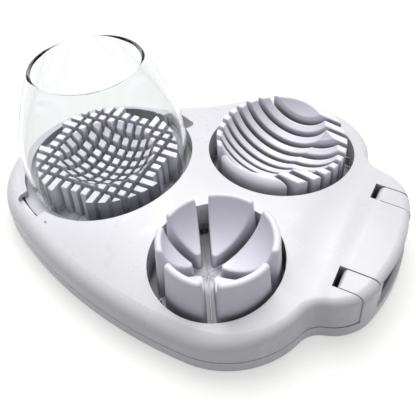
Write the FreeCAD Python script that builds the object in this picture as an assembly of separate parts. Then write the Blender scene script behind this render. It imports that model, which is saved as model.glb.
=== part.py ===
import FreeCAD
import Part
import math
import os

# Three-way egg slicer: a shallow tray with three anvils (dice, slice, wedge) and a hinged
# domed lid that carries the cutting wires. Millimetres. X runs from the dice end to the
# hinge, Y across, Z up. The model is laid out about the wells, then moved so that its origin
# is on the table under the middle of the tray.

Vector = FreeCAD.Vector
UP = Vector(0, 0, 1)
ACROSS = Vector(0, 1, 0)

# Heights above the table
foot_height = 2.2
tray_bottom = 1.2
tray_floor = 4.2
tray_rim = 8.6
lid_bottom = 9.0
slot_floor = 12.5
frame_bottom = 13.0
frame_top = 17.5
wire_height = 15.5
wire_layer_step = 0.6

# Thicknesses and clearances
tray_wall = 2.6
lid_wall = 2.2
lid_skin = 2.4
edge_round = 8.0
hinge_edge_round = 4.0
hinge_edge_start = 60.0
inner_edge_round = edge_round - lid_wall
wire_radius = 0.25
wire_hole_radius = 0.32
wire_end_inset = 0.4
running_gap = 0.05
part_gap = 0.3
screw_clearance = 0.2
tray_bottom_round = 1.6

# Cutting blocks reach past everything by these
beyond_all = 120.0
above_all = 60.0

# Plan outline: three lobes and the hinge block, each a circle (x, y, radius)
dice_lobe = (-52.0, -2.0, 53.5)
wedge_lobe = (33.0, -36.0, 43.0)
slice_lobe = (24.0, 42.0, 48.5)
hinge_corner_radius = 22.0
hinge_corner_near_y = -20.0
hinge_corner_far_y = 24.0
near_side_radius = 230.0
far_side_radius = 70.0
waist_radius = 12.0
end_radius = 90.0
tray_end = 102.9
lid_end = 102.4

# The lid's domed top: highest over the middle, falling along X and across Y
dome_x = 32.0
dome_y = 4.0
dome_top = 31.2
dome_radius_along = 800.0
dome_radius_across = 330.0

# The three wells: centre, radius of the lid's opening, radius of the anvil
dice_centre = Vector(-51.4, 0, 0)
dice_opening = 44.1
dice_anvil_radius = 36.4
slice_centre = Vector(29.2, 39.0, 0)
slice_opening = 37.0
slice_anvil_radius = 32.8
wedge_centre = Vector(29.5, -39.5, 0)
wedge_opening = 31.0
wedge_anvil_radius = 28.6
wedge_anvil_centre = Vector(30.6, -38.9, 0)

# Dice anvil: square pillars in a grid, cut down by a round bowl
dice_top = 30.0
dice_pitch = 5.65
dice_slot = 2.4
dice_slot_count = 10
dice_flat_reach = 31.0
dice_flat_half_width = 1.5 * dice_pitch
dice_bowl_radius = 30.0
dice_bowl_bottom = 17.6

# Slice anvil: parallel ribs under two crossed egg-shaped bowls
slice_top = 36.0
slice_top_tilt = 3.0
slice_turn = -9.0
slice_pitch = 6.2
slice_slot = 2.4
slice_slot_count = 9
slice_outer_round = 4.0
rib_roundings = (0.8, 0.6, 0.4)
cross_bowl_centre = (-4.0, 0.0, 44.7)
cross_bowl_size = (26.5, 32.0, 25.0)
long_bowl_centre = (6.0, 0.0, 47.5)
long_bowl_size = (28.0, 21.0, 25.0)

# Wedge anvil: six petals round a bowl, parted by slots that widen upwards
wedge_top = 42.4
wedge_top_radius = 27.0
wedge_star = Vector(25.2, -40.0, 0)
star_angles = (0, 60, 120)
wedge_slot_bottom = 4.0
wedge_slot_top = 6.0
petal_corner_round = 2.0
petal_top_round = 1.6
bowl_rim_roundings = (1.2, 1.0, 0.8)
wedge_bowl_centre = Vector(30.3, -38.7, 43.6)
wedge_bowl_radius = 24.0

# Hinge at the +X end
hinge_x = 91.0
hinge_z = 21.2
pin_radius = 2.0
notch_start = 80.6
notch_inner = 22.1
notch_outer = 32.9
knuckle_start = 82.6
knuckle_side_gap = 0.4
knuckle_drop = 0.1
knuckle_front_round = 3.5
knuckle_rear_round = 5.0
barrel_radius = 6.0
barrel_inner_end = 12.0
pin_inner_end = 15.0
pin_outer_end = 30.5
pin_end_gap = 0.1
rear_gap_start = 98.0
rear_edge_bottom = 24.6
swing_radius = 12.3

# Finger notches beside the dice opening, opposite each other
finger_notch_turn = 63.0
finger_notch_width = 19.5
finger_notch_reach = 49.4
finger_notch_corner = 3.0
finger_notch_floor = 2.0

# Wire frames screwed under the lid's openings
frame_band = 3.0
dice_frame_inner = 38.3
dice_frame_outer = dice_opening + lid_wall
lug_radius = 3.2
lug_overlap = 1.2
dice_lug_angles = (0.0, 42.0, -60.0, -97.0)
slice_lug_angles = (90.0, 150.0, -40.0, -120.0)
wedge_lug_angles = (150.0, -150.0, -30.0, 30.0)

# Screws
frame_screw_radius = 1.15
frame_screw_length = 8.5
frame_screw_head = 2.5
frame_screw_head_height = 1.5
anvil_screw_radius = 1.25
anvil_screw_length = 6.6
anvil_screw_head = 2.8
anvil_screw_head_height = 1.6
anvil_boss_radius = 3.4
anvil_screw_ring = 0.62
anvil_screw_angles = (90.0, 210.0, 330.0)
screw_head_round = 0.5
drive_length = 3.2
drive_width = 0.8
drive_depth = 0.8
anvil_plate = 2.5
anvil_wall = 2.2

# Rubber feet: plan position of each
foot_radius = 5.5
foot_round = 0.6
foot_places = {
    "foot_dice_end_near": (-84.0, -26.0),
    "foot_dice_end_far": (-84.0, 22.0),
    "foot_wedge_side": (46.0, -66.0),
    "foot_slice_side": (38.0, 76.0),
    "foot_hinge_near": (86.0, -20.0),
    "foot_hinge_far": (86.0, 24.0),
}

# Clear egg guard that stands in the dice opening: radius and height down its outside
guard_seat = frame_top + 0.1
guard_wall = 1.9
guard_lean = 5.0
guard_lean_turn = 145.0
guard_profile = ((39.6, 12.0), (41.9, 28.0), (41.4, 42.0), (37.9, 56.0), (33.1, 69.0), (28.0, 80.0))


def box(x0, x1, y0, y1, z0, z1):
    return Part.makeBox(x1 - x0, y1 - y0, z1 - z0, Vector(x0, y0, z0))


def post(centre, radius, z0, z1):
    return Part.makeCylinder(radius, z1 - z0, Vector(centre.x, centre.y, z0), UP)


def rod_along_y(x, z, radius, y0, y1):
    return Part.makeCylinder(radius, y1 - y0, Vector(x, y0, z), ACROSS)


def at_angle(centre, radius, degrees):
    angle = math.radians(degrees)
    return centre + Vector(radius * math.cos(angle), radius * math.sin(angle), 0)


def ellipsoid(centre, size):
    matrix = FreeCAD.Matrix()
    matrix.scale(Vector(*size))
    matrix.move(Vector(*centre))
    return Part.makeSphere(1.0).transformGeometry(matrix)


def bridge(first, second, reach_first, reach_second, side):
    """Centre at given distances from two circles' centres, left (+1) or right (-1) of the way across."""
    dx = second[0] - first[0]
    dy = second[1] - first[1]
    span = math.hypot(dx, dy)
    along = (reach_first ** 2 - reach_second ** 2 + span ** 2) / (2 * span)
    aside = side * math.sqrt(reach_first ** 2 - along ** 2)
    x = first[0] + (along * dx - aside * dy) / span
    y = first[1] + (along * dy + aside * dx) / span
    return (x, y)


def outline_circles(end_x):
    """The outline's circles counter-clockwise: x, y, radius and +1 for convex or -1 for concave."""
    half_span = (hinge_corner_far_y - hinge_corner_near_y) / 2
    end_reach = end_radius - hinge_corner_radius
    end_bulge = hinge_corner_radius - end_radius + math.sqrt(end_reach ** 2 - half_span ** 2)
    corner_x = end_x - hinge_corner_radius + end_bulge
    near_corner = (corner_x, hinge_corner_near_y, hinge_corner_radius)
    far_corner = (corner_x, hinge_corner_far_y, hinge_corner_radius)
    near_side = bridge(dice_lobe, wedge_lobe, near_side_radius - dice_lobe[2],
                       near_side_radius - wedge_lobe[2], 1)
    near_waist = bridge(wedge_lobe, near_corner, wedge_lobe[2] + waist_radius,
                        near_corner[2] + waist_radius, -1)
    end = bridge(near_corner, far_corner, end_reach, end_reach, 1)
    far_waist = bridge(far_corner, slice_lobe, far_corner[2] + waist_radius,
                       slice_lobe[2] + waist_radius, -1)
    far_side = bridge(slice_lobe, dice_lobe, slice_lobe[2] + far_side_radius,
                      dice_lobe[2] + far_side_radius, -1)
    return [
        (*dice_lobe, 1),
        (*near_side, near_side_radius, 1),
        (*wedge_lobe, 1),
        (*near_waist, waist_radius, -1),
        (*near_corner, 1),
        (*end, end_radius, 1),
        (*far_corner, 1),
        (*far_waist, waist_radius, -1),
        (*slice_lobe, 1),
        (*far_side, far_side_radius, -1),
    ]


def touch_point(first, second):
    """Where two neighbouring circles of the outline are tangent."""
    if first[3] != second[3]:
        share = first[2] / (first[2] + second[2])
    else:
        share = first[2] / (first[2] - second[2])
    return (first[0] + (second[0] - first[0]) * share, first[1] + (second[1] - first[1]) * share)


def outline_face(end_x, inset, z):
    """The plan outline as a flat face, moved inwards by inset."""
    circles = [(x, y, r - inset * bend, bend) for x, y, r, bend in outline_circles(end_x)]
    edges = []
    for index, circle in enumerate(circles):
        x, y, radius, bend = circle
        start = touch_point(circles[index - 1], circle)
        finish = touch_point(circle, circles[(index + 1) % len(circles)])
        a0 = math.atan2(start[1] - y, start[0] - x)
        a1 = math.atan2(finish[1] - y, finish[0] - x)
        sweep = bend * ((bend * (a1 - a0)) % (2 * math.pi))
        middle = a0 + sweep / 2
        points = [Vector(*start, z),
                  Vector(x + radius * math.cos(middle), y + radius * math.sin(middle), z),
                  Vector(*finish, z)]
        edges.append(Part.Arc(*points).toShape())
    return Part.Face(Part.Wire(edges))


def outline_block(end_x, inset, z0, z1):
    return outline_face(end_x, inset, z0).extrude(Vector(0, 0, z1 - z0))


def dome_block(lowered):
    """Everything under the domed top, which is an arc across Y swept round an axis along Y."""
    half_width = 110.0
    top = dome_top - lowered
    drop = half_width ** 2 / (2 * dome_radius_across)
    near_y = dome_y - half_width
    far_y = dome_y + half_width
    near = Vector(dome_x, near_y, top - drop)
    far = Vector(dome_x, far_y, top - drop)
    floor = -10.0
    arc = Part.Arc(near, Vector(dome_x, dome_y, top), far).toShape()
    sides = Part.makePolygon([far, Vector(dome_x, far_y, floor), Vector(dome_x, near_y, floor), near])
    face = Part.Face(Part.Wire([arc] + sides.Edges))
    sweep_axis = Vector(dome_x, 0, dome_top - dome_radius_along)
    reach_degrees = 12.0
    face.rotate(sweep_axis, ACROSS, -reach_degrees)
    return face.revolve(sweep_axis, ACROSS, 2 * reach_degrees)


def domed_block(end_x, inset, lowered, z0):
    return outline_block(end_x, inset, z0, dome_top + 5).common(dome_block(lowered))


def top_edges(block, z0):
    """The edges round the top of a domed block."""
    return [edge for edge in block.Edges
            if edge.BoundBox.ZMin > z0 + 2 and max(edge.BoundBox.XLength, edge.BoundBox.YLength) > 1]


def graded_rounding(block, edges):
    """Round the edges widely at the lobes and tightly round the hinge."""
    document = FreeCAD.newDocument("rounding")
    base = document.addObject("Part::Feature", "base")
    base.Shape = block
    rounded = document.addObject("Part::Fillet", "rounded")
    rounded.Base = base
    steps = []
    for number, edge in enumerate(block.Edges, 1):
        if any(edge.isSame(chosen) for chosen in edges):
            ends = [edge.valueAt(edge.FirstParameter), edge.valueAt(edge.LastParameter)]
            steps.append((number, *[hinge_edge_round if end.x > hinge_edge_start else edge_round
                                    for end in ends]))
    rounded.Edges = steps
    document.recompute()
    return rounded.Shape.copy()


def mirrored_pair(shape):
    return [shape, shape.mirror(Vector(0, 0, 0), ACROSS)]


def hinge_notch(grow, z0):
    return mirrored_pair(box(notch_start - grow, beyond_all, notch_inner - grow, notch_outer + grow,
                             z0, above_all))


def finger_pocket(turn, inner, outer, width, z0, z1):
    pocket = box(inner, outer, -width / 2, width / 2, z0, z1)
    corners = [edge for edge in pocket.Edges
               if edge.BoundBox.XMin > outer - 0.01 and edge.BoundBox.ZLength > 1]
    pocket = pocket.makeFillet(finger_notch_corner, corners)
    pocket.rotate(Vector(0, 0, 0), UP, turn)
    pocket.translate(dice_centre)
    return pocket


def finger_pockets(inner, outer, width, z0, z1):
    return [finger_pocket(turn, inner, outer, width, z0, z1)
            for turn in (finger_notch_turn, finger_notch_turn + 180)]


def lug_centres(centre, ring_outer, angles):
    return [at_angle(centre, ring_outer + lug_radius - lug_overlap, angle) for angle in angles]


slice_frame_outer = slice_opening + frame_band
wedge_frame_outer = wedge_opening + frame_band
dice_lugs = lug_centres(dice_centre, dice_frame_outer, dice_lug_angles)
slice_lugs = lug_centres(slice_centre, slice_frame_outer, slice_lug_angles)
wedge_lugs = lug_centres(wedge_centre, wedge_frame_outer, wedge_lug_angles)
all_lugs = dice_lugs + slice_lugs + wedge_lugs
openings = ((dice_centre, dice_opening), (slice_centre, slice_opening), (wedge_centre, wedge_opening))


def anvil_screw_places():
    places = []
    for centre, radius in ((dice_centre, dice_anvil_radius), (slice_centre, slice_anvil_radius),
                           (wedge_anvil_centre, wedge_anvil_radius)):
        for angle in anvil_screw_angles:
            places.append(at_angle(centre, radius * anvil_screw_ring, angle))
    return places


def base_tray():
    """Open tray with two hinge knuckles, foot recesses and screw holes."""
    tray = outline_block(tray_end, 0, tray_bottom, tray_rim)
    bottom_edges = [edge for edge in tray.Edges if edge.BoundBox.ZMax < tray_bottom + 0.01]
    tray = tray.makeFillet(tray_bottom_round, bottom_edges)
    tray = tray.cut(outline_block(tray_end, tray_wall, tray_floor, tray_rim + 1))
    tray = tray.fuse(hinge_knuckles())
    bore_end = pin_outer_end + pin_end_gap
    cutters = [rod_along_y(hinge_x, hinge_z, pin_radius + running_gap, -bore_end, bore_end)]
    for x, y in foot_places.values():
        cutters.append(post(Vector(x, y, 0), foot_radius + running_gap, 0, foot_height))
    for place in anvil_screw_places():
        cutters.append(post(place, anvil_screw_head + part_gap, 0, tray_bottom + anvil_screw_head_height))
        cutters.append(post(place, anvil_screw_radius + screw_clearance, 0, tray_floor + 1))
    return tray.cut(cutters)


def hinge_knuckles():
    """Upright lugs of the tray that stand in the lid's two notches, flush with its top."""
    upright = outline_block(tray_end, 0, tray_bottom, dome_top + 5).common(dome_block(knuckle_drop))
    upright = upright.makeFillet(knuckle_rear_round, top_edges(upright, tray_bottom))
    strip = box(knuckle_start, tray_end + 1, notch_inner + knuckle_side_gap,
                notch_outer - knuckle_side_gap, tray_bottom + 1, dome_top + 5)
    strip = strip.common(dome_block(knuckle_drop))
    front_edges = [edge for edge in strip.Edges
                   if edge.BoundBox.XMax < knuckle_start + 0.1 and edge.BoundBox.ZMin > tray_rim]
    strip = strip.makeFillet(knuckle_front_round, front_edges)
    return [knuckle.common(upright) for knuckle in mirrored_pair(strip)]


def rear_relief():
    """What is taken off the lid behind the pins: a gap over the tray's rim, and room to swing."""
    gap_half = notch_inner - lid_wall
    gap = box(rear_gap_start, beyond_all, -gap_half, gap_half, 0, rear_edge_bottom)
    corner = box(hinge_x, beyond_all, -beyond_all, beyond_all, 0, hinge_z)
    return [gap, corner.cut(rod_along_y(hinge_x, hinge_z, swing_radius, -beyond_all, beyond_all))]


def lid_cover():
    """Domed shell with three openings, hinge notches, pin barrels and screw bosses."""
    outer = domed_block(lid_end, 0, 0, lid_bottom)
    outer = graded_rounding(outer, top_edges(outer, lid_bottom))
    hollow = domed_block(lid_end, lid_wall, lid_skin, lid_bottom - 1)
    hollow = hollow.makeFillet(inner_edge_round, top_edges(hollow, lid_bottom - 1))
    kept = hinge_notch(lid_wall, 0)
    kept += [post(centre, radius + lid_wall, frame_top, above_all) for centre, radius in openings]
    kept += [post(place, lug_radius, frame_top, above_all) for place in all_lugs]
    kept += finger_pockets(dice_frame_outer + part_gap, finger_notch_reach + lid_wall,
                           finger_notch_width + 2 * lid_wall, frame_top - finger_notch_floor, above_all)
    for side in (1, -1):
        ends = sorted((side * barrel_inner_end, side * notch_inner))
        kept.append(rod_along_y(hinge_x, hinge_z, barrel_radius, *ends))
    cover = outer.cut(hollow.cut(kept))
    cutters = [post(centre, radius, 0, above_all) for centre, radius in openings]
    cutters += hinge_notch(0, 0) + rear_relief()
    cutters += finger_pockets(dice_opening - 2 * lid_wall, finger_notch_reach, finger_notch_width,
                              frame_top, above_all)
    cutters += [post(place, frame_screw_radius + running_gap, 0, frame_bottom + frame_screw_length + 0.5)
                for place in all_lugs]
    for side in (1, -1):
        ends = sorted((side * (pin_inner_end - pin_end_gap), side * notch_outer))
        cutters.append(rod_along_y(hinge_x, hinge_z, pin_radius + running_gap, *ends))
    return cover.cut(cutters)


def anvil_blank(centre, radius, top):
    """Solid round block on a hollow skirt with three screw bosses."""
    block = post(centre, radius, tray_floor, top)
    pocket = post(centre, radius - anvil_wall, tray_floor - 1, slot_floor - anvil_plate)
    bosses = [post(at_angle(centre, radius * anvil_screw_ring, angle), anvil_boss_radius,
                   tray_floor, slot_floor) for angle in anvil_screw_angles]
    return block.cut(pocket.cut(bosses))


def screw_bores():
    top = tray_bottom + anvil_screw_head_height + anvil_screw_length + part_gap
    return [post(place, anvil_screw_radius + running_gap, 0, top) for place in anvil_screw_places()]


def dice_anvil():
    """Grid of square pillars; the three middle rows of each side stop short of the rim."""
    anvil = anvil_blank(dice_centre, dice_anvil_radius, dice_top)
    cutters = [Part.makeSphere(dice_bowl_radius,
                               dice_centre + Vector(0, 0, dice_bowl_bottom + dice_bowl_radius))]
    local = []
    first = -(dice_slot_count - 1) / 2 * dice_pitch
    for index in range(dice_slot_count):
        offset = first + index * dice_pitch
        low = offset - dice_slot / 2
        high = offset + dice_slot / 2
        local.append(box(low, high, -beyond_all, beyond_all, slot_floor, above_all))
        local.append(box(-beyond_all, beyond_all, low, high, slot_floor, above_all))
    for turn in range(4):
        flat = box(dice_flat_reach, beyond_all, -dice_flat_half_width, dice_flat_half_width,
                   slot_floor, above_all)
        flat.rotate(Vector(0, 0, 0), UP, 90 * turn)
        local.append(flat)
    for cutter in local:
        cutter.translate(dice_centre)
    return anvil.cut(cutters + local + screw_bores())


def softened(solid, edges, roundings):
    """Round the edges by the largest of the roundings that the solid has room for."""
    for rounding in roundings:
        try:
            rounded = solid.makeFillet(rounding, edges)
        except Part.OCCError:
            continue
        if rounded.isValid():
            return rounded
    return solid


def edges_above(solid, height):
    return [edge for edge in solid.Edges if edge.BoundBox.ZMin > height]


def slice_block():
    """The slicing anvil above its slots' floor before they are cut; only its near edge is well rounded."""
    block = post(Vector(), slice_anvil_radius, slot_floor, slice_top + 3)
    above = box(-beyond_all, beyond_all, -beyond_all, beyond_all, slice_top, slice_top + above_all)
    above.rotate(Vector(0, 0, slice_top), ACROSS, slice_top_tilt)
    block = block.cut(above)
    top_edge = edges_above(block, slot_floor + 5)
    near_side = box(-beyond_all, beyond_all, -beyond_all, -(slice_slot_count - 1) / 2 * slice_pitch,
                    0, above_all)
    return block.cut(near_side).fuse(block.makeFillet(slice_outer_round, top_edge).common(near_side))


def slice_anvil():
    """Parallel ribs with a solid segment at each side, hollowed by two crossed bowls."""
    foundation = anvil_blank(slice_centre, slice_anvil_radius, slot_floor)
    cutters = [ellipsoid(cross_bowl_centre, cross_bowl_size), ellipsoid(long_bowl_centre, long_bowl_size)]
    first = -(slice_slot_count - 1) / 2 * slice_pitch
    for index in range(slice_slot_count):
        offset = first + index * slice_pitch
        cutters.append(box(-beyond_all, beyond_all, offset - slice_slot / 2, offset + slice_slot / 2,
                           0, above_all))
    ribs = [softened(rib, edges_above(rib, slot_floor + 0.01), rib_roundings)
            for rib in slice_block().cut(cutters).Solids]
    for rib in ribs:
        rib.rotate(Vector(0, 0, 0), UP, slice_turn)
        rib.translate(slice_centre)
    return foundation.fuse(ribs).cut(screw_bores())


def wedge_slot(degrees):
    """A slot through the star point, wider at the top than at the floor."""
    reach = 70.0
    spare = 5.0
    rise = wedge_top - slot_floor
    top_half = (wedge_slot_top + (wedge_slot_top - wedge_slot_bottom) * spare / rise) / 2
    corners = [(-wedge_slot_bottom / 2, slot_floor), (wedge_slot_bottom / 2, slot_floor),
               (top_half, wedge_top + spare), (-top_half, wedge_top + spare)]
    points = [Vector(-reach / 2, y, z) for y, z in corners]
    slot = Part.Face(Part.makePolygon(points + [points[0]])).extrude(Vector(reach, 0, 0))
    slot.rotate(Vector(0, 0, 0), UP, degrees)
    slot.translate(wedge_star)
    return slot


def petal(block, bowl):
    """One petal of the wedge anvil: rounded corners and top, then the bowl's share with a soft rim."""
    upright = [edge for edge in block.Edges if edge.BoundBox.ZLength > 5]
    block = block.makeFillet(petal_corner_round, upright)
    top = [edge for edge in block.Edges if edge.BoundBox.ZMin > wedge_top - 0.01]
    hollowed = block.makeFillet(petal_top_round, top).cut(bowl).Solids[0]
    rim = [edge for face in hollowed.Faces if isinstance(face.Surface, Part.Sphere)
           and abs(face.Surface.Radius - wedge_bowl_radius) < 0.01 for edge in face.Edges]
    return softened(hollowed, rim, bowl_rim_roundings)


def wedge_anvil():
    """Six petals with leaning sides standing round an egg-shaped bowl."""
    foundation = anvil_blank(wedge_anvil_centre, wedge_anvil_radius, slot_floor)
    cone = Part.makeCone(wedge_anvil_radius, wedge_top_radius, wedge_top - slot_floor,
                         wedge_anvil_centre + UP * slot_floor, UP)
    bowl = Part.makeSphere(wedge_bowl_radius, wedge_bowl_centre)
    blocks = cone.cut([wedge_slot(angle) for angle in star_angles]).Solids
    return foundation.fuse([petal(block, bowl) for block in blocks]).cut(screw_bores())


def half_chord(radius, offset):
    return math.sqrt(radius ** 2 - offset ** 2)


def straight_wire(centre, degrees, offset, half_length, z, radius):
    """A wire at an offset to the left of the direction, centred on the well."""
    angle = math.radians(degrees)
    along = Vector(math.cos(angle), math.sin(angle), 0)
    aside = Vector(-math.sin(angle), math.cos(angle), 0)
    start = centre + aside * offset - along * half_length + Vector(0, 0, z)
    return Part.makeCylinder(radius, 2 * half_length, start, along)


def parallel_wires(centre, degrees, count, pitch, ring_outer, z, radius):
    first = -(count - 1) / 2 * pitch
    offsets = [first + index * pitch for index in range(count)]
    return [straight_wire(centre, degrees, offset, half_chord(ring_outer - wire_end_inset, offset), z, radius)
            for offset in offsets]


def star_wires(radius):
    """Three wires through the star point, each a little above the last."""
    wires = []
    for index, degrees in enumerate(star_angles):
        angle = math.radians(degrees)
        shift = wedge_star - wedge_centre
        offset = -math.sin(angle) * shift.x + math.cos(angle) * shift.y
        half = half_chord(wedge_frame_outer - wire_end_inset, offset)
        z = wire_height + (index - 1) * wire_layer_step
        wires.append(straight_wire(wedge_centre, degrees, offset, half, z, radius))
    return wires


def dice_wires(degrees, layer, radius):
    return parallel_wires(dice_centre, degrees, dice_slot_count, dice_pitch, dice_frame_outer,
                          wire_height + layer * wire_layer_step, radius)


def slice_wire_set(radius):
    return parallel_wires(slice_centre, slice_turn, slice_slot_count, slice_pitch, slice_frame_outer,
                          wire_height, radius)


def wire_frame(centre, inner, outer, lugs, wires):
    """Ring under an opening, with lugs for its screws and a hole for each wire end."""
    ring = post(centre, outer, frame_bottom, frame_top)
    ring = ring.fuse([post(place, lug_radius, frame_bottom, frame_top) for place in lugs])
    cutters = [post(centre, inner, 0, above_all)] + wires
    cutters += [post(place, frame_screw_radius + running_gap, 0, above_all) for place in lugs]
    return ring.cut(cutters)


def screw(place, head_bottom, head_radius, head_height, shank_radius, shank_length):
    """A screw with its head down and a cross for the driver."""
    head = post(place, head_radius, head_bottom, head_bottom + head_height)
    rim = [edge for edge in head.Edges
           if edge.BoundBox.ZMax < head_bottom + 0.01 and edge.BoundBox.XLength > 1]
    head = head.makeFillet(screw_head_round, rim)
    shank_start = head_bottom + head_height
    shank = post(place, shank_radius, shank_start, shank_start + shank_length)
    cross = []
    for half_x, half_y in ((drive_length / 2, drive_width / 2), (drive_width / 2, drive_length / 2)):
        cross.append(box(place.x - half_x, place.x + half_x, place.y - half_y, place.y + half_y,
                         head_bottom - 1, head_bottom + drive_depth))
    return head.fuse(shank).cut(cross)


def foot(x, y):
    pad = post(Vector(x, y, 0), foot_radius, 0, foot_height)
    rim = [edge for edge in pad.Edges if edge.BoundBox.ZMax < 0.01 and edge.BoundBox.XLength > 1]
    return pad.makeFillet(foot_round, rim)


def egg_guard():
    """Open clear cup, wide near its foot and narrower at its rim, leaning a little outwards."""
    outside = [Vector(radius, 0, z) for radius, z in guard_profile]
    inside = [Vector(radius - guard_wall, 0, z) for radius, z in reversed(guard_profile)]
    outer_curve = Part.BSplineCurve()
    outer_curve.interpolate(outside)
    inner_curve = Part.BSplineCurve()
    inner_curve.interpolate(inside)
    top_middle = (outside[-1] + inside[0]) * 0.5 + Vector(0, 0, guard_wall / 2)
    lip = Part.Arc(outside[-1], top_middle, inside[0]).toShape()
    foot_edge = Part.makeLine(inside[-1], outside[0])
    wire = Part.Wire([outer_curve.toShape(), lip, inner_curve.toShape(), foot_edge])
    cup = Part.Face(wire).revolve(Vector(0, 0, 0), UP, 360)
    cup.rotate(Vector(0, 0, guard_seat), at_angle(Vector(), 1, guard_lean_turn + 90), guard_lean)
    cup.translate(dice_centre)
    return cup.cut(box(-beyond_all, beyond_all, -beyond_all, beyond_all, 0, guard_seat))


def hinge_pin(side):
    ends = sorted((side * pin_inner_end, side * pin_outer_end))
    return rod_along_y(hinge_x, hinge_z, pin_radius, *ends)


def all_nodes():
    hole = wire_hole_radius
    nodes = {
        "base_tray": base_tray(),
        "dice_anvil": dice_anvil(),
        "slice_anvil": slice_anvil(),
        "wedge_anvil": wedge_anvil(),
        "anvil_screws": Part.makeCompound(
            [screw(place, tray_bottom, anvil_screw_head, anvil_screw_head_height, anvil_screw_radius,
                   anvil_screw_length) for place in anvil_screw_places()]),
        "hinge_pin_near": hinge_pin(-1),
        "hinge_pin_far": hinge_pin(1),
        "lid_cover": lid_cover(),
        "dice_wire_frame": wire_frame(dice_centre, dice_frame_inner, dice_frame_outer, dice_lugs,
                                      dice_wires(0, -0.5, hole) + dice_wires(90, 0.5, hole)),
        "slice_wire_frame": wire_frame(slice_centre, slice_opening, slice_frame_outer, slice_lugs,
                                       slice_wire_set(hole)),
        "wedge_wire_frame": wire_frame(wedge_centre, wedge_opening, wedge_frame_outer, wedge_lugs,
                                       star_wires(hole)),
        "dice_wires_long": Part.makeCompound(dice_wires(0, -0.5, wire_radius)),
        "dice_wires_cross": Part.makeCompound(dice_wires(90, 0.5, wire_radius)),
        "slice_wires": Part.makeCompound(slice_wire_set(wire_radius)),
        "wedge_wires": Part.makeCompound(star_wires(wire_radius)),
        "frame_screws": Part.makeCompound(
            [screw(place, frame_bottom - frame_screw_head_height, frame_screw_head,
                   frame_screw_head_height, frame_screw_radius, frame_screw_length)
             for place in all_lugs]),
        "egg_guard": egg_guard(),
    }
    for name, (x, y) in foot_places.items():
        nodes[name] = foot(x, y)
    return nodes


def main():
    os.makedirs("parts", exist_ok=True)
    dice_end = dice_lobe[0] - dice_lobe[2]
    near_edge = wedge_lobe[1] - wedge_lobe[2]
    far_edge = slice_lobe[1] + slice_lobe[2]
    to_origin = Vector(-(dice_end + tray_end) / 2, -(near_edge + far_edge) / 2, 0)
    for name, shape in all_nodes().items():
        shape.translate(to_origin)
        solids = len(shape.Solids)
        print(f"{name}: {solids} solid(s), {shape.Volume:.0f} mm3, valid {shape.isValid()}")
        shape.exportStep(f"parts/{name}.step")


main()
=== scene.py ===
import math

import bpy
from mathutils import Matrix, Vector

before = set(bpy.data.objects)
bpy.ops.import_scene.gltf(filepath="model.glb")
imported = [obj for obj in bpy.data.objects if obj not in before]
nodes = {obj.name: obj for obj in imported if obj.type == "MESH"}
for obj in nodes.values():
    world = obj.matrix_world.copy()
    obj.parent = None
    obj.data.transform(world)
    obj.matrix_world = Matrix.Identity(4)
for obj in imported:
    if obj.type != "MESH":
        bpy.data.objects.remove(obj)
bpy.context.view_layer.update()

MM = 0.001
TABLE_Z = 0.0

# Camera: where it stands, the turn, tilt and roll of its view, and its lens
CAMERA_PLACE = Vector((118.63, -209.82, 258.84)) * MM
CAMERA_AZIMUTH = 28.66
CAMERA_ELEVATION = 46.37
CAMERA_ROLL = -3.76
CAMERA_LENS = 58.0
CAMERA_SENSOR = 36.0

# Shallow trough between the lid's dome and its hinge block: the X where it starts, is deepest and
# ends, and its depth, in millimetres
LID_TROUGH = (48.0, 74.3, 87.0)
TROUGH_DEPTH = 2.6

# Painted shade: the plastic's colour is darkened in its narrow gaps, by how open a spot is: fully
# at the first openness, down to the shade, and not at all from the second on
GAP_OPENNESS = (0.15, 0.75)
PAINTED_GAP_SHADE = 0.36

# Most of a noise's values lie between these two
NOISE_LOW = 0.3
NOISE_HIGH = 0.7

# Moulded plastic: sizes and heights in millimetres
CLOUD_SIZE = 28.0
POLISH_SIZE = 9.0
POLISH_SMOOTHER = 0.05
POLISH_ROUGHER = 0.06
EDGE_SOFTNESS = 0.5
PEEL_HEIGHT = 0.012
PEEL_STRENGTH = 0.5

# Steel: how far its grain changes the roughness each way, and the grain's height in millimetres
GRAIN_SMOOTHER = 0.08
GRAIN_ROUGHER = 0.10
GRAIN_HEIGHT = 0.004
GRAIN_STRENGTH = 0.4

# Studio: floor, sky and lamp
FLOOR_HALF = 3.0
FLOOR_COLOR = (0.45, 0.452, 0.446)
FLOOR_SHADE = (0.44, 0.443, 0.438)
FLOOR_CLOUD_SIZE = 60.0
FLOOR_GLOW = 0.56
FLOOR_GLOW_COLOR = (1.0, 1.0, 0.98, 1.0)
FLOOR_BOUNCE = (0.20, 0.20, 0.21)
SKY_LIGHT = 0.42
SKY_SEEN = 0.95
SKY_COLOR = (0.98, 0.98, 1.0)
KEY_PLACE = (-0.20, 0.45, 1.2)
KEY_POWER = 16.0


# ---------------------------------------------------------------- node helpers

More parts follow.
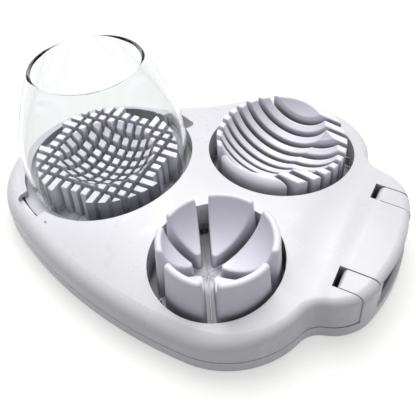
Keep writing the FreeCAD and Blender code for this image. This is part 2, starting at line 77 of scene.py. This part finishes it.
class Shader:
    """A material's node tree, with short calls for the nodes it uses."""

    def __init__(self, name):
        self.material = bpy.data.materials.new(name)
        self.material.use_nodes = True
        self.tree = self.material.node_tree
        self.tree.nodes.clear()
        self.output = self.tree.nodes.new("ShaderNodeOutputMaterial")
        self.place = self.tree.nodes.new("ShaderNodeTexCoord").outputs["Object"]

    def node(self, kind, **settings):
        made = self.tree.nodes.new(kind)
        for key, value in settings.items():
            setattr(made, key, value)
        return made

    def link(self, source, target):
        self.tree.links.new(source, target)

    def principled(self, color, roughness, **inputs):
        shader = self.node("ShaderNodeBsdfPrincipled")
        shader.inputs["Base Color"].default_value = (*color, 1.0)
        shader.inputs["Roughness"].default_value = roughness
        for key, value in inputs.items():
            shader.inputs[key.replace("_", " ")].default_value = value
        self.link(shader.outputs["BSDF"], self.output.inputs["Surface"])
        return shader

    def blend(self, source, first, second):
        """The surface is first where source is 0 and second where it is 1."""
        mix = self.node("ShaderNodeMixShader")
        self.link(source, mix.inputs["Fac"])
        self.link(first.outputs["BSDF"], mix.inputs[1])
        self.link(second.outputs["BSDF"], mix.inputs[2])
        self.link(mix.outputs["Shader"], self.output.inputs["Surface"])

    def noise(self, size_mm, detail=3.0):
        """Noise whose features are about size_mm across."""
        noise = self.node("ShaderNodeTexNoise")
        noise.inputs["Scale"].default_value = 1.0 / (size_mm * MM)
        noise.inputs["Detail"].default_value = detail
        self.link(self.place, noise.inputs["Vector"])
        return noise.outputs["Fac"]

    def spread(self, source, low, high):
        """A noise's usual range spread over low to high."""
        spread = self.node("ShaderNodeMapRange")
        spread.inputs["From Min"].default_value = NOISE_LOW
        spread.inputs["From Max"].default_value = NOISE_HIGH
        spread.inputs["To Min"].default_value = low
        spread.inputs["To Max"].default_value = high
        self.link(source, spread.inputs["Value"])
        return spread.outputs["Result"]

    def tint(self, source, first, second):
        """A colour between first and second, by source."""
        mix = self.node("ShaderNodeMix", data_type="RGBA")
        mix.inputs["A"].default_value = (*first, 1.0)
        mix.inputs["B"].default_value = (*second, 1.0)
        self.link(source, mix.inputs["Factor"])
        return mix.outputs["Result"]

    def bump(self, source, height_mm, strength=1.0, under=None):
        """A normal raised by source, on top of the normal given as under."""
        bump = self.node("ShaderNodeBump")
        bump.inputs["Strength"].default_value = strength
        bump.inputs["Distance"].default_value = height_mm * MM
        self.link(source, bump.inputs["Height"])
        if under is not None:
            self.link(under, bump.inputs["Normal"])
        return bump.outputs["Normal"]

    def soft_edges(self, radius_mm):
        """A normal that makes edges look rounded to the radius."""
        bevel = self.node("ShaderNodeBevel", samples=6)
        bevel.inputs["Radius"].default_value = radius_mm * MM
        return bevel.outputs["Normal"]

    def openness(self, reach_mm, darkest):
        """Painted shade for the colour: 1 on open surfaces, down to darkest in gaps narrower than the
        reach.
        """
        hollow = self.node("ShaderNodeAmbientOcclusion", samples=8)
        hollow.inputs["Distance"].default_value = reach_mm * MM
        spread = self.node("ShaderNodeMapRange")
        spread.inputs["From Min"].default_value = GAP_OPENNESS[0]
        spread.inputs["From Max"].default_value = GAP_OPENNESS[1]
        spread.inputs["To Min"].default_value = darkest
        self.link(hollow.outputs["AO"], spread.inputs["Value"])
        return spread.outputs["Result"]

    def ramp(self, source, start, end):
        """0 at start and 1 at end, easing in and out; start and end in millimetres."""
        ease = self.node("ShaderNodeMapRange", interpolation_type="SMOOTHSTEP")
        ease.inputs["From Min"].default_value = start * MM
        ease.inputs["From Max"].default_value = end * MM
        self.link(source, ease.inputs["Value"])
        return ease.outputs["Result"]

    def valley(self, start, bottom, end):
        """1 along the line X = bottom across the object, easing to 0 at start and at end."""
        split = self.node("ShaderNodeSeparateXYZ")
        self.link(self.place, split.inputs["Vector"])
        x = split.outputs["X"]
        both = self.node("ShaderNodeMath", operation="MULTIPLY")
        self.link(self.ramp(x, start, bottom), both.inputs[0])
        self.link(self.ramp(x, end, bottom), both.inputs[1])
        return both.outputs["Value"]


def moulded_plastic(name, color, shade, roughness, peel_mm, gap_reach=6.0, trough=None):
    """Glossy moulded plastic: faint clouds, uneven polish, fine orange peel, soft edges, painted gap
    shade.
    """
    s = Shader(name)
    shader = s.principled(color, roughness, IOR=1.5)
    clouded = s.tint(s.spread(s.noise(CLOUD_SIZE), 0.0, 1.0), color, shade)
    # Painted shade: the clouded colour is darkened in narrow gaps by ambient occlusion
    gap_shaded_color = s.node("ShaderNodeMix", data_type="RGBA", blend_type="MULTIPLY")
    gap_shaded_color.inputs["Factor"].default_value = 1.0
    s.link(clouded, gap_shaded_color.inputs["A"])
    s.link(s.openness(gap_reach, PAINTED_GAP_SHADE), gap_shaded_color.inputs["B"])
    s.link(gap_shaded_color.outputs["Result"], shader.inputs["Base Color"])
    s.link(s.spread(s.noise(POLISH_SIZE, 5.0), roughness - POLISH_SMOOTHER,
                    roughness + POLISH_ROUGHER), shader.inputs["Roughness"])
    normal = s.soft_edges(EDGE_SOFTNESS)
    if trough is not None:
        normal = s.bump(s.valley(*trough), -TROUGH_DEPTH, 1.0, normal)
    s.link(s.bump(s.noise(peel_mm, 2.0), PEEL_HEIGHT, PEEL_STRENGTH, normal),
           shader.inputs["Normal"])
    return s.material


def steel(name, color, roughness, grain_mm):
    """Drawn or turned steel with fine grain."""
    s = Shader(name)
    shader = s.principled(color, roughness, Metallic=1.0)
    grain = s.noise(grain_mm, 4.0)
    s.link(s.spread(grain, roughness - GRAIN_SMOOTHER, roughness + GRAIN_ROUGHER),
           shader.inputs["Roughness"])
    s.link(s.bump(grain, GRAIN_HEIGHT, GRAIN_STRENGTH), shader.inputs["Normal"])
    return s.material


def rubber(name, color, roughness, pit_mm, pit_depth):
    """Matt rubber with fine pits."""
    s = Shader(name)
    shader = s.principled(color, roughness)
    s.link(s.bump(s.noise(pit_mm), pit_depth, 0.6), shader.inputs["Normal"])
    return s.material


def clear_plastic(name, color, clear_color, wave_mm, wave_height):
    """Clear moulded plastic that lets the lamps through to what stands inside it."""
    s = Shader(name)
    glass = s.principled(color, 0.012, IOR=1.15, Transmission_Weight=1.0, Coat_Weight=0.35)
    s.link(s.bump(s.noise(wave_mm, 1.0), wave_height, 0.2), glass.inputs["Normal"])
    clear = s.node("ShaderNodeBsdfTransparent")
    clear.inputs["Color"].default_value = (*clear_color, 1.0)
    path = s.node("ShaderNodeLightPath")
    s.blend(path.outputs["Is Shadow Ray"], glass, clear)
    return s.material


def paint(names, material):
    """Gives each named node the one material."""
    for name in names:
        mesh = nodes[name].data
        mesh.materials.clear()
        mesh.materials.append(material)


# ---------------------------------------------------------------- materials

body_white = moulded_plastic("body_white", (0.67, 0.665, 0.70), (0.65, 0.645, 0.68), 0.30, 2.2)
lid_white = moulded_plastic("lid_white", (0.67, 0.665, 0.70), (0.65, 0.645, 0.68), 0.30, 2.2,
                            trough=LID_TROUGH)
# The anvils' plastic is a little bluer than the body's and painted lighter, as painted light in the
# wells
anvil_lit_white = moulded_plastic("anvil_lit_white", (0.77, 0.76, 0.83), (0.75, 0.74, 0.81), 0.40, 1.6,
                              gap_reach=8.0)
# Painted shade: the dice pillars get a darker copy of the white plastic
pillar_shaded_white = moulded_plastic("pillar_shaded_white", (0.57, 0.565, 0.62), (0.55, 0.545, 0.60), 0.42, 1.6)
frame_white = moulded_plastic("frame_white", (0.50, 0.50, 0.54), (0.48, 0.48, 0.52), 0.42, 1.6)
wire_steel = steel("wire_steel", (0.36, 0.36, 0.39), 0.34, 0.4)
screw_steel = steel("screw_steel", (0.52, 0.52, 0.55), 0.35, 0.5)
foot_rubber = rubber("foot_rubber", (0.06, 0.06, 0.07), 0.8, 0.7, 0.03)
guard_clear = clear_plastic("guard_clear", (0.90, 0.91, 0.915), (0.95, 0.955, 0.965), 24.0, 0.03)

paint(["base_tray"], body_white)
paint(["lid_cover"], lid_white)
paint(["slice_anvil", "wedge_anvil"], anvil_lit_white)
paint(["dice_anvil"], pillar_shaded_white)
paint(["dice_wire_frame", "slice_wire_frame", "wedge_wire_frame"], frame_white)
paint(["dice_wires_long", "dice_wires_cross", "slice_wires", "wedge_wires"], wire_steel)
paint(["anvil_screws", "frame_screws", "hinge_pin_near", "hinge_pin_far"], screw_steel)
paint([name for name in nodes if name.startswith("foot_")], foot_rubber)
paint(["egg_guard"], guard_clear)


# ---------------------------------------------------------------- floor, light, camera

def studio_floor():
    """Pale floor; what it throws back onto the object is darker than it looks."""
    mesh = bpy.data.meshes.new("studio_floor")
    corners = [(x * FLOOR_HALF, y * FLOOR_HALF, TABLE_Z)
               for x, y in ((-1, -1), (1, -1), (1, 1), (-1, 1))]
    mesh.from_pydata(corners, [], [(0, 1, 2, 3)])
    floor = bpy.data.objects.new("studio_floor", mesh)
    bpy.context.scene.collection.objects.link(floor)
    s = Shader("studio_floor")
    seen = s.principled(FLOOR_COLOR, 0.7, Emission_Strength=FLOOR_GLOW,
                        Emission_Color=FLOOR_GLOW_COLOR)
    s.link(s.tint(s.noise(FLOOR_CLOUD_SIZE), FLOOR_COLOR, FLOOR_SHADE), seen.inputs["Base Color"])
    bounce = s.principled(FLOOR_BOUNCE, 0.8)
    path = s.node("ShaderNodeLightPath")
    s.blend(path.outputs["Is Diffuse Ray"], seen, bounce)
    mesh.materials.append(s.material)


def soft_box(name, place, target, width, height, power, color):
    """A rectangular lamp at place that faces target; metres and watts."""
    data = bpy.data.lights.new(name, "AREA")
    data.shape = "RECTANGLE"
    data.size = width
    data.size_y = height
    data.energy = power
    data.color = color
    light = bpy.data.objects.new(name, data)
    bpy.context.scene.collection.objects.link(light)
    light.location = place
    light.rotation_euler = (Vector(target) - Vector(place)).to_track_quat("-Z", "Y").to_euler()


def sky(light, seen, color):
    """A white studio all round: how much it lights things, and how bright it looks."""
    world = bpy.data.worlds.new("studio_sky")
    bpy.context.scene.world = world
    world.use_nodes = True
    tree = world.node_tree
    background = tree.nodes["Background"]
    background.inputs["Color"].default_value = (*color, 1.0)
    path = tree.nodes.new("ShaderNodeLightPath")
    strength = tree.nodes.new("ShaderNodeMapRange")
    strength.inputs["To Min"].default_value = seen
    strength.inputs["To Max"].default_value = light
    tree.links.new(path.outputs["Is Diffuse Ray"], strength.inputs["Value"])
    tree.links.new(strength.outputs["Result"], background.inputs["Strength"])


def camera():
    """The camera, turned by its azimuth, elevation and roll."""
    azimuth = math.radians(CAMERA_AZIMUTH)
    elevation = math.radians(CAMERA_ELEVATION)
    forward = Vector((-math.sin(azimuth) * math.cos(elevation),
                      math.cos(azimuth) * math.cos(elevation), -math.sin(elevation)))
    right = Vector((math.cos(azimuth), math.sin(azimuth), 0))
    turn = Matrix.Rotation(-math.radians(CAMERA_ROLL), 3, forward)
    right = turn @ right
    up = right.cross(forward)
    data = bpy.data.cameras.new("camera")
    data.lens = CAMERA_LENS
    data.sensor_width = CAMERA_SENSOR
    data.clip_start = 0.01
    viewer = bpy.data.objects.new("camera", data)
    bpy.context.scene.collection.objects.link(viewer)
    axes = Matrix((right, up, -forward)).transposed()
    viewer.matrix_world = Matrix.Translation(CAMERA_PLACE) @ axes.to_4x4()
    bpy.context.scene.camera = viewer


studio_floor()
sky(SKY_LIGHT, SKY_SEEN, SKY_COLOR)
soft_box("key_light", KEY_PLACE, (0, 0, 0), 1.0, 0.9, KEY_POWER, (1.0, 0.995, 0.985))
camera()
bpy.context.scene.view_settings.view_transform = "Standard"
